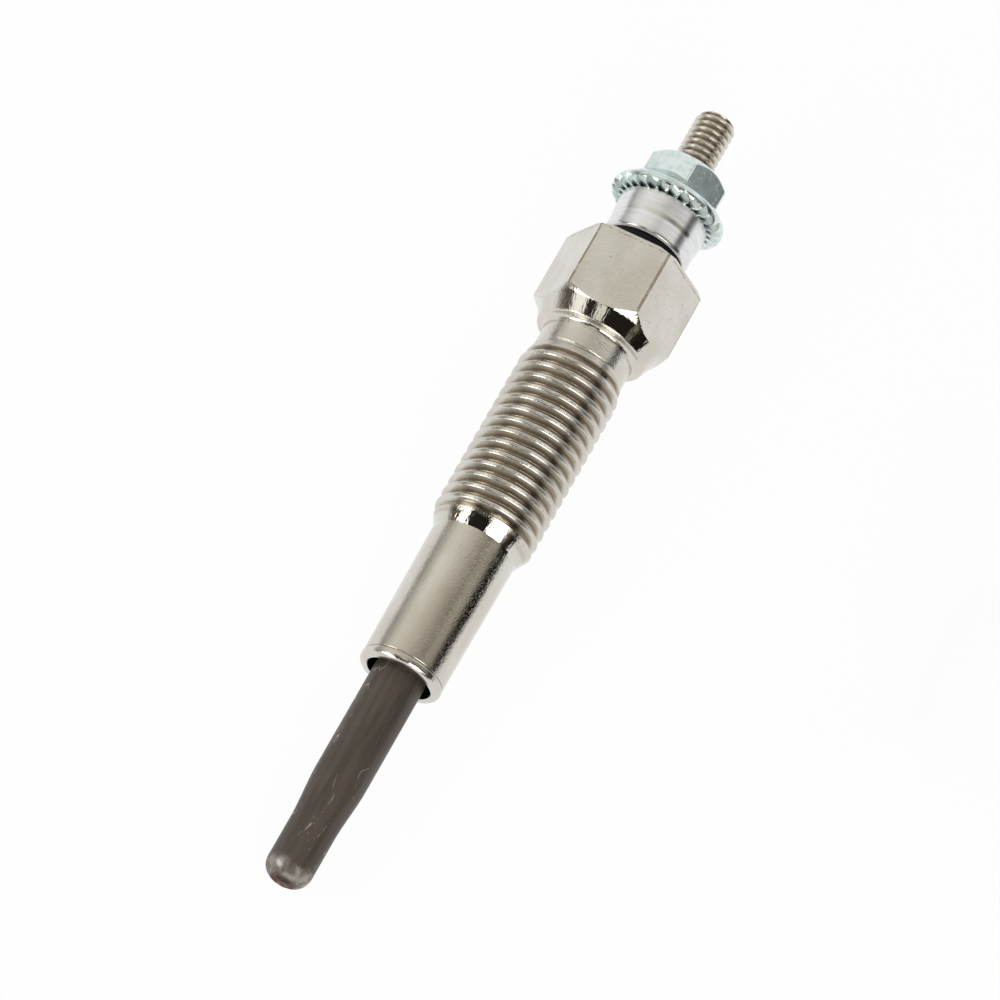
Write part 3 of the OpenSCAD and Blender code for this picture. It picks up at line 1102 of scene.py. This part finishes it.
@dataclass
class Sheath(Assembly):
    """Drawn heater tube with a reduced tip, welded shut."""

    tube_r: float = 2.5
    wall: float = 0.5
    tip_r: float = 2.2
    tip_z: float = -59.75
    tip_l: float = 5.75
    taper_l: float = 5.5
    tip_round: float = 1.6
    tip_wall: float = 1.2
    dimple_r: float = 1.15
    dimple_depth: float = 0.45
    top_z: float = -20.15
    dimple_curve: tuple[Span, ...] = ((0.45, 0.01), (0.72, 0.05), (0.88, 0.15))
    taper_steps: int = 10
    weld_ripple: float = 0.07
    ripple_size: float = 0.7
    ripple_level: float = 0.75
    dressed: Dressed = Dressed("heater_sheath", "sheath", "sheath_alloy", OxideFinish("oxidised_alloy"))

    def outline(self) -> Outline:
        """Outer skin from the weld up, then the cavity back down.

        Returns:
            The outline.
        """
        z0, z1 = self.tip_z + self.tip_l, self.tip_z + self.tip_l + self.taper_l
        shares = [i / self.taper_steps for i in range(self.taper_steps + 1)]
        floor_z = self.tip_z + self.dimple_depth
        cavity_z = self.tip_z + self.tip_wall
        centre_r = self.tip_r - self.tip_round
        rim = -math.degrees(math.acos((self.dimple_r - centre_r) / self.tip_round))
        return [
            (0, floor_z),
            *((self.dimple_r * out, floor_z - drop) for out, drop in self.dimple_curve),
            *arc((centre_r, self.tip_z + self.tip_round), self.tip_round, rim, 0, 14),
            *((self.tip_r + (self.tube_r - self.tip_r) * ease(s), z0 + (z1 - z0) * s) for s in shares),
            (self.tube_r, self.top_z),
            (self.tube_r - self.wall, self.top_z),
            (self.tube_r - self.wall, z1),
            (self.tip_r - self.wall, z0),
            (self.tip_r - self.wall, cavity_z),
            (0, cavity_z),
        ]

    def model(self) -> Piece:
        """Turns the tube and ripples its welded tip.

        Returns:
            The sheath.
        """
        tube = Bench.lathe("sheath", self.outline(), SLIM_STEPS)
        weld = tube.vertex_groups.new(name="weld")
        for point in tube.data.vertices:
            depth = ramp(point.co.z, self.tip_z + self.tip_round * 1.2, self.tip_z + 0.3)
            if depth > 0 and point.co.z < self.tip_z + self.tip_wall - 0.01:
                weld.add([point.index], depth, "REPLACE")
        ripple = bpy.data.textures.new("weld_ripple", "CLOUDS")
        ripple.noise_scale = self.ripple_size
        Bench.activate(tube)
        step = tube.modifiers.new("ripple", "DISPLACE")
        step.texture = ripple
        step.vertex_group = weld.name
        step.mid_level = self.ripple_level
        step.strength = self.weld_ripple
        bpy.ops.object.modifier_apply(modifier=step.name)
        Bench.smooth(tube)
        return tube


@dataclass
class TerminalRod(Assembly):
    """Centre rod with its terminal thread."""

    nut_top_z: float = 20.25
    stud_z: float = 26.65
    crest_r: float = 1.975
    root_r: float = 1.57
    pitch: float = 0.7
    shank_r: float = 1.775
    tail_r: float = 1.5
    step_z: float = -19.15
    tail_z: float = -36.3
    nipple_r: float = 0.9
    nipple_z: float = -38.3
    end_r: float = 1.4
    end_round: float = 0.55
    lead_l: float = 0.95
    lead_bend: float = 1.6
    held_r: float = 1.775
    held_l: float = 1.5
    core_depth: float = 0.12
    thread_steps: int = 72
    dressed: Dressed = Dressed("terminal_rod", "centre_rod", "rod_steel", NickelFinish(
        "rod_plating", warm=(0.64, 0.6, 0.53), pale=(0.7, 0.67, 0.61), root_r=1.6, crest_r=1.85,
        thread_low=19.0, thread_high=26.2, pitting=0.04))

    def limits(self, height: float) -> Span:
        """Least and greatest radius of the stud thread at a height.

        Args:
            height: Height along the axis.

        Returns:
            Both radii: held thread below, rounded end above.
        """
        free = ramp(height, self.nut_top_z - 0.15, self.nut_top_z)
        high = self.held_r + (self.crest_r - self.held_r) * free
        share = ramp(height, self.stud_z - self.lead_l, self.stud_z)
        high -= (self.crest_r - self.end_r) * share ** self.lead_bend
        return min(self.root_r, high), high

    def model(self) -> Piece:
        """Turns the rod and adds its terminal thread.

        Returns:
            The rod.
        """
        core = self.root_r - self.core_depth
        start = self.nut_top_z - self.held_l
        top = self.stud_z
        outline = [
            (0, self.nipple_z),
            (self.nipple_r, self.nipple_z),
            (self.nipple_r, self.tail_z),
            (self.tail_r, self.tail_z),
            (self.tail_r, self.step_z),
            (self.shank_r, self.step_z + self.shank_r - self.tail_r),
            (self.shank_r, start + 0.3),
            (core, start + 0.5),
            (core, top - 0.5),
            *arc((core - self.end_round, top - self.end_round), self.end_round, 10, 90, 6),
            (0, top),
        ]
        rod = Bench.lathe("rod", outline, SLIM_STEPS)
        stud = Thread(self.pitch, self.crest_r, self.root_r, start, top - 0.2, self.thread_steps)
        Bench.combine(rod, stud.build("stud_thread", self.limits), Cut.ADD)
        Bench.smooth(rod)
        return rod


@dataclass
class Bush(Assembly):
    """Black insulating bush between shell and collar."""

    flange_r: float = 4.0
    low_z: float = 9.25
    top_z: float = 10.9
    spigot_r: float = 3.15
    spigot_l: float = 2.0
    bore_r: float = 2.055
    edge: float = 0.15
    dressed: Dressed = Dressed("insulator", "insulating_bush", "bush_plastic", MouldedFinish(
        "black_moulding", (0.004, 0.004, 0.0055), (0.008, 0.008, 0.01), 6.0, 0.35, 0.012, 0.0, 0.15))

    def model(self) -> Piece:
        """Turns the bush with its spigot.

        Returns:
            The bush.
        """
        foot_z = self.low_z - self.spigot_l
        edge = self.edge
        outline = [
            (self.bore_r, foot_z),
            *arc((self.spigot_r - edge, foot_z + edge), edge, -90, 0, 4),
            (self.spigot_r, self.low_z),
            *arc((self.flange_r - edge, self.low_z + edge), edge, -90, 0, 5),
            *arc((self.flange_r - edge, self.top_z - edge), edge, 0, 90, 5),
            (self.bore_r, self.top_z),
            (self.bore_r, foot_z),
        ]
        bush = Bench.lathe("bush", outline)
        Bench.smooth(bush)
        return bush


@dataclass
class Collar(Assembly):
    """Turned aluminium collar in two bands."""

    bore_r: float = 1.805
    low_z: float = 10.9
    top_z: float = 15.3
    low_r: float = 4.25
    band_h: float = 2.2
    step_l: float = 0.5
    top_r: float = 4.425
    low_round: float = 0.5
    chamfer: float = 0.15
    step_steps: int = 8
    dressed: Dressed = Dressed(
        "clamp_collar", "terminal_collar", "collar_aluminium", AluminiumFinish("turned_aluminium"))

    def model(self) -> Piece:
        """Turns the collar with the soft step between its bands.

        Returns:
            The collar.
        """
        band_z = self.low_z + self.band_h
        step = (self.top_r - self.low_r) / 2
        shares = [i / self.step_steps for i in range(self.step_steps + 1)]
        foot, edge = self.low_round, self.chamfer
        outline = [
            (self.bore_r, self.low_z),
            *arc((self.low_r - foot, self.low_z + foot), foot, -90, 0, 8),
            *((self.low_r + step * ease(s), band_z + self.step_l * (s - 0.5)) for s in shares),
            (self.top_r, self.top_z - edge - 0.1),
            *arc((self.top_r - edge, self.top_z - edge), edge, 0, 90, 4),
            (self.bore_r, self.top_z),
            (self.bore_r, self.low_z),
        ]
        collar = Bench.lathe("collar", outline)
        Bench.smooth(collar)
        return collar


@dataclass
class FlangeNut(Assembly):
    """Zinc plated flange nut with locking teeth under the flange."""

    low_z: float = 15.3
    height: float = 4.95
    af: float = 7.7
    edge: float = 0.3
    turn: float = 43.0
    flange_r: float = 5.675
    rim_r: float = 0.55
    rim_z: float = 0.65
    flange_slope: float = 42.0
    crown_r: float = 3.6
    crown_slope: float = 50.0
    bore_r: float = 1.805
    countersink: float = 0.3
    teeth: int = 28
    tooth_depth: float = 0.6
    tooth_reach: float = 0.8
    tooth_seat_r: float = 3.625
    notch_share: float = 0.8
    top_round: float = 0.15
    smooth_angle: float = 18.0
    flat_area: float = 3.0
    dressed: Dressed = Dressed("flange_nut", "terminal_nut", "nut_zinc", ZincFinish("blue_zinc"))

    def flange(self) -> Piece:
        """Turned flange with a round rim and a cone that ends inside the hexagon.

        Returns:
            The flange.
        """
        core = self.flange_r - self.rim_r
        slope = math.radians(self.flange_slope)
        rim = arc((core, self.rim_z), self.rim_r, -60, 90 - self.flange_slope, 14)
        inner_r = self.af / 3
        inner_z = rim[-1][1] + (rim[-1][0] - inner_r) * math.tan(slope)
        return Bench.lathe("flange", [(0, 0), (core, 0), *rim, (inner_r, inner_z), (0, inner_z)])

    def hexagon(self) -> Piece:
        """Hexagon with its crown chamfer.

        Returns:
            The hexagon.
        """
        out = self.af / 2 / math.cos(HEX_HALF_ANGLE) + CLEAR
        crown = self.height - (out - self.crown_r) * math.tan(math.radians(self.crown_slope))
        outline = [
            (0, self.rim_z),
            (out, self.rim_z),
            (out, crown),
            (self.crown_r, self.height),
            (0, self.height),
        ]
        bar = Bench.hex_bar("nut_hexagon", self.af, 0, self.height + CLEAR, self.edge)
        Bench.combine(bar, Bench.lathe("nut_crown", outline), Cut.KEEP)
        Bench.break_edges(bar, self.height, self.crown_r * RIM_SHARE, self.top_round)
        return bar

    def notch(self) -> Piece:
        """One notch between two teeth as a cutter, steep on one side and deeper to the rim.

        Returns:
            The cutter.
        """
        width = self.notch_share * 2 * math.pi * self.tooth_seat_r / self.teeth
        slope = math.atan(self.tooth_depth / (self.flange_r - self.tooth_seat_r))
        edge_depth = self.tooth_reach * math.tan(slope)
        section = [
            (0, -width / 5),
            (2 * width, -width * 4 / 5),
            (2 * width, width * (2 * width / edge_depth - 1 / 5)),
        ]
        Bench.clear()
        bpy.ops.mesh.primitive_circle_add(vertices=3, fill_type="NGON")
        notch = bpy.context.object
        for point, (down, aside) in zip(notch.data.vertices, section):
            point.co = (down, aside, -1)
        bpy.ops.object.mode_set(mode="EDIT")
        bpy.ops.mesh.select_all(action="SELECT")
        bpy.ops.mesh.extrude_region_move(TRANSFORM_OT_translate={"value": (0, 0, self.flange_r)})
        Bench.close()
        lean = Matrix.Rotation(math.pi / 2 - slope, 4, "Y")
        notch.data.transform(Matrix.Translation((self.tooth_seat_r, 0, 0)) @ lean)
        return notch

    def cut_teeth(self, nut: Piece) -> None:
        """Cuts copies of one notch all round the flange.

        Args:
            nut: The flange.
        """
        notch = self.notch()
        for i in range(self.teeth):
            copy = notch.copy()
            copy.data = notch.data.copy()
            copy.data.transform(Matrix.Rotation(2 * math.pi * i / self.teeth, 4, "Z"))
            bpy.context.collection.objects.link(copy)
            Bench.combine(nut, copy, Cut.TAKE)
        bpy.data.objects.remove(notch)

    def bore(self) -> Piece:
        """Tapped bore with a countersink at both faces.

        Returns:
            The cutter.
        """
        wide = self.bore_r + self.countersink
        top = self.height
        return Bench.lathe("nut_bore", [
            (0, -CLEAR),
            (wide + CLEAR, -CLEAR),
            (wide, 0),
            (self.bore_r, self.countersink),
            (self.bore_r, top - self.countersink),
            (wide, top),
            (wide + CLEAR, top + CLEAR),
            (0, top + CLEAR),
        ], SLIM_STEPS)

    def model(self) -> Piece:
        """Cuts the teeth, joins flange and hexagon and turns the nut as it stands.

        Returns:
            The nut.
        """
        nut = self.flange()
        self.cut_teeth(nut)
        Bench.combine(nut, self.hexagon(), Cut.ADD)
        Bench.combine(nut, self.bore(), Cut.TAKE)
        turn = Matrix.Rotation(math.radians(self.turn), 4, "Z")
        nut.data.transform(Matrix.Translation((0, 0, self.low_z)) @ turn)
        Bench.smooth(nut, self.smooth_angle, self.flat_area)
        return nut


@dataclass
class Inside:
    """Sealed inner pieces, which keep their frame shapes and get a finish each."""

    finishes: dict[str, MouldedFinish] = field(default_factory=lambda: {
        "heating_coil": MouldedFinish(
            "heating_wire", (0.42, 0.4, 0.38), (0.5, 0.48, 0.45), 9.0, 0.3, 0.01, 1.0),
        "regulating_coil": MouldedFinish(
            "regulating_wire", (0.5, 0.4, 0.3), (0.6, 0.5, 0.38), 9.0, 0.3, 0.01, 1.0),
        "insulating_powder": MouldedFinish(
            "packed_magnesia", (0.84, 0.81, 0.75), (0.92, 0.9, 0.86), 7.0, 0.75, 0.04),
        "sheath_seal": MouldedFinish(
            "seal_rubber", (0.1, 0.045, 0.03), (0.14, 0.065, 0.045), 5.0, 0.5, 0.02),
        "o_ring": MouldedFinish(
            "ring_rubber", (0.018, 0.018, 0.02), (0.03, 0.03, 0.034), 5.0, 0.45, 0.02),
    })

    def dress(self, rest: Rest) -> None:
        """Gives each inner node its material.

        Args:
            rest: Lie of the plug.
        """
        for name, finish in self.finishes.items():
            material = finish.material(rest)
            for place in frame["nodes"][name].material_slots:
                place.material = material
            LOG.info("%s: %s", name, finish.name)


@dataclass(frozen=True)
class Panel:
    """A dark or white card in front of the tent, placed by where turned metal reflects it.

    The turn is measured about the plug from the side that faces the camera, + to the
    picture's right, in degrees. The place is along the axis, + to the stud, in millimetres.
    """

    name: str
    turn: Span
    place: Span
    tone: Colour
    radius: float = 196.0


@dataclass
class Studio:
    """Floor, room, light tent, panels and camera."""

    tilt: float = 23.433
    turn: float = 11.4
    slant: float = 60.134
    distance: float = 600.5
    focal: float = 6.6646
    middle: float = -17.65
    aside: float = 0.071
    above: float = -0.013
    sensor: float = 36.0
    floor_size: float = 6.0
    floor_glow: float = 0.96
    floor_tone: Colour = (0.9, 0.9, 0.9)
    room_tone: Colour = (0.97, 0.965, 0.95)
    clip: float = 0.01
    tent_r: float = 200.0
    tent_l: float = 760.0
    tent_faces: int = 288
    tent_span: Span = (-104.0, 87.0)
    tent_low: Tones = (
        (-101, (0.98, 0.98, 0.97)),
        (-95, (0.45, 0.44, 0.41)),
        (-90, (0.36, 0.35, 0.32)),
        (-80, (0.56, 0.54, 0.5)),
        (-58, (0.9, 0.88, 0.82)),
        (-35, (0.82, 0.78, 0.7)),
        (0, (0.5, 0.46, 0.39)),
        (26, (0.26, 0.23, 0.18)),
        (37, (0.42, 0.39, 0.33)),
        (52, (0.36, 0.33, 0.28)),
        (61, (0.07, 0.058, 0.045)),
        (66, (0.015, 0.012, 0.009)),
        (84, (0.04, 0.034, 0.028)),
    )
    tent_high: Tones = (
        (-101, (0.7, 0.7, 0.69)),
        (-93, (0.48, 0.48, 0.47)),
        (-80, (0.8, 0.8, 0.78)),
        (-60, (0.96, 0.96, 0.94)),
        (-40, (0.92, 0.91, 0.89)),
        (-20, (0.89, 0.88, 0.84)),
        (0, (0.68, 0.67, 0.65)),
        (14, (0.92, 0.91, 0.9)),
        (40, (1.0, 0.99, 0.98)),
        (55, (1.05, 1.04, 1.03)),
        (59, (0.5, 0.5, 0.5)),
        (63, (0.1, 0.11, 0.12)),
        (70, (0.1, 0.11, 0.12)),
        (76, (0.35, 0.36, 0.37)),
        (84, (0.8, 0.8, 0.8)),
    )
    tent_rise: Span = (80.0, 126.0)
    panels: tuple[Panel, ...] = (
        Panel("dark_flare_left", (-90, -68), (-78, -8), (0.14, 0.12, 0.1)),
        Panel("white_flare_left", (-68, -44), (-78, -8), (1.3, 1.28, 1.22)),
        Panel("dark_flare", (-42, -21), (-78, -8), (0.03, 0.026, 0.022)),
        Panel("white_flare", (-21, -5), (-78, -8), (1.0, 0.98, 0.92)),
        Panel("dark_flare_right", (-4, 52), (-78, -8), (0.02, 0.017, 0.014)),
        Panel("white_strip_left", (-78, -49), (-380, -84), (4.0, 3.95, 3.8)),
        Panel("dark_strip", (-48, 8), (-380, -84), (0.02, 0.017, 0.014)),
        Panel("white_strip_right", (9, 48), (-380, -84), (4.0, 3.95, 3.8)),
        Panel("dark_neck", (-103, -90), (93, 111), (0.12, 0.11, 0.1)),
        Panel("dark_side", (66, 91), (-2, 17), (0.015, 0.012, 0.01), 42.0),
        Panel("dark_end", (-75, 45), (312, 380), (0.05, 0.045, 0.04)),
    )

    def near_side(self, rest: Rest) -> Vector:
        """Direction square to the plug that faces the camera.

        Args:
            rest: Lie of the plug.

        Returns:
            The direction.
        """
        turn = math.radians(self.turn)
        up = Vector((-rest.axis.z, 0, rest.axis.x))
        return math.cos(turn) * up - math.sin(turn) * Vector((0, 1, 0))

    def set_camera(self, rest: Rest) -> None:
        """Stands the camera where the picture was taken from.

        Args:
            rest: Lie of the plug.
        """
        near = self.near_side(rest)
        lean, slant = math.radians(self.tilt), math.radians(self.slant)
        back = math.cos(lean) * near - math.sin(lean) * rest.axis
        along = (rest.axis - rest.axis.dot(back) * back).normalized()
        side = along.cross(back)
        right = math.cos(slant) * along + math.sin(slant) * side
        up = math.sin(slant) * along - math.cos(slant) * side
        target = rest.shoulder + rest.axis * self.middle * MM
        data = bpy.data.cameras.new("camera")
        data.sensor_width = self.sensor
        data.lens = self.focal * self.sensor
        data.clip_start = self.clip
        camera = bpy.data.objects.new("camera", data)
        bpy.context.scene.collection.objects.link(camera)
        camera.matrix_world = Matrix((right, up, back)).transposed().to_4x4()
        camera.location = target + (back * self.distance - right * self.aside - up * self.above) * MM
        bpy.context.scene.camera = camera

    def lay_floor(self, rest: Rest) -> None:
        """Lays a pale floor that keeps a soft shadow and looks white behind the plug.

        Args:
            rest: Lie of the plug.
        """
        Bench.clear()
        bpy.ops.mesh.primitive_plane_add(size=self.floor_size)
        floor = bpy.context.object
        floor.name = "floor"
        g = Graph("pale_floor", rest)
        kinds = ("Camera", "Glossy", "Transmission")
        rays = [g.add("ShaderNodeLightPath", {}, {}, f"Is {kind} Ray") for kind in kinds]
        seen = (rays[0] + rays[1] + rays[2]).least(1.0)
        matt = g.add("ShaderNodeBsdfDiffuse", {}, {"Color": (*self.floor_tone, 1)})
        glow = g.add("ShaderNodeEmission", {}, {"Color": WHITE, "Strength": 1.0})
        g.add_output(g.add("ShaderNodeMixShader", {}, {0: seen * self.floor_glow, 1: matt, 2: glow}))
        floor.data.materials.append(g.material)

    def light_world(self) -> None:
        """Pale even light from all round."""
        world = bpy.data.worlds.new("pale_room")
        bpy.context.scene.world = world
        world.use_nodes = True
        shade = world.node_tree.nodes["Background"]
        shade.inputs["Color"].default_value = (*self.room_tone, 1)
        shade.inputs["Strength"].default_value = 1.0

    def turn_of(self, face: bpy.types.MeshPolygon) -> float:
        """Turn of an upright sheet's face about the plug, between -180 and 180 degrees."""
        angle = math.degrees(math.atan2(face.center.y, face.center.x)) - 180 - self.turn
        return (angle + 180) % 360 - 180

    def sheet(self, name: str, radius: float, turn: Span, place: Span, rest: Rest) -> Piece:
        """Bends a sheet round the plug, unseen by the camera itself.

        Args:
            name: Name of the sheet.
            radius: Its distance from the axis in millimetres.
            turn: First and last turn about the plug in degrees.
            place: Lower and upper end along the axis in millimetres from the picture's middle.
            rest: Lie of the plug.

        Returns:
            The sheet.
        """
        Bench.clear()
        bpy.ops.mesh.primitive_cylinder_add(
            vertices=self.tent_faces, radius=radius, depth=place[1] - place[0], end_fill_type="NOTHING",
            location=(0, 0, self.middle + (place[0] + place[1]) / 2))
        sheet = bpy.context.object
        sheet.name = name
        bpy.ops.object.transform_apply(location=True)
        Bench.pick("FACE", sheet.data.polygons, lambda face: not turn[0] < self.turn_of(face) < turn[1])
        bpy.ops.mesh.delete(type="FACE")
        bpy.ops.object.mode_set(mode="OBJECT")
        sheet.visible_camera = False
        Bench.lay_down(sheet, rest)
        return sheet

    @staticmethod
    def cloth(g: Graph, angle: Value, tones: Tones) -> Value:
        """Tone of the tent's cloth by the turn about the plug.

        Args:
            g: Graph of the cloth.
            angle: Turn about the plug in degrees.
            tones: Turns and their tones.

        Returns:
            The tone.
        """
        first, last = tones[0][0], tones[-1][0]
        stops = [((at - first) / (last - first), tone) for at, tone in tones]
        return g.add("ShaderNodeValToRGB", {"stops": stops}, {"Fac": (angle - first) / (last - first)})

    def raise_tent(self, rest: Rest) -> None:
        """Raises the light tent: white to the left, darker to the right, paler towards the stud.

        Args:
            rest: Lie of the plug.
        """
        half = self.tent_l / 2
        tent = self.sheet("light_tent", self.tent_r, self.tent_span, (-half, half), rest)
        g = Graph("tent_cloth", rest)
        turn = math.radians(self.turn)
        right = g.x * math.sin(turn) - g.y * math.cos(turn)
        near = g.x * -math.cos(turn) - g.y * math.sin(turn)
        angle = right.maths("ARCTAN2", right, near) * (180 / math.pi)
        share = (g.z - self.middle).rise(*self.tent_rise)
        tone = g.tint(share, self.cloth(g, angle, self.tent_low), self.cloth(g, angle, self.tent_high))
        g.add_output(g.add("ShaderNodeEmission", {}, {"Color": tone}))
        tent.data.materials.append(g.material)

    def hang(self, panel: Panel, rest: Rest) -> None:
        """Hangs one panel inside the tent.

        Args:
            panel: The panel.
            rest: Lie of the plug.
        """
        card = self.sheet(panel.name, panel.radius, panel.turn, panel.place, rest)
        g = Graph(panel.name, rest)
        g.add_output(g.add("ShaderNodeEmission", {}, {"Color": (*panel.tone, 1.0)}))
        card.data.materials.append(g.material)

    def build(self, rest: Rest) -> None:
        """Sets up floor, light and camera.

        Args:
            rest: Lie of the plug.
        """
        self.lay_floor(rest)
        self.light_world()
        self.raise_tent(rest)
        for panel in self.panels:
            self.hang(panel, rest)
        self.set_camera(rest)
        bpy.context.scene.view_settings.view_transform = "Standard"


def main() -> None:
    """Builds the plug piece by piece, then the studio."""
    logging.basicConfig(level=logging.INFO, format="%(message)s")
    shell = Shell()
    rest = Rest.from_frame(shell.thread_middle)
    for assembly in (shell, Sheath(), TerminalRod(), Bush(), Collar(), FlangeNut()):
        assembly.build(rest)
    Inside().dress(rest)
    Studio().build(rest)


if __name__ == "__main__":
    main()
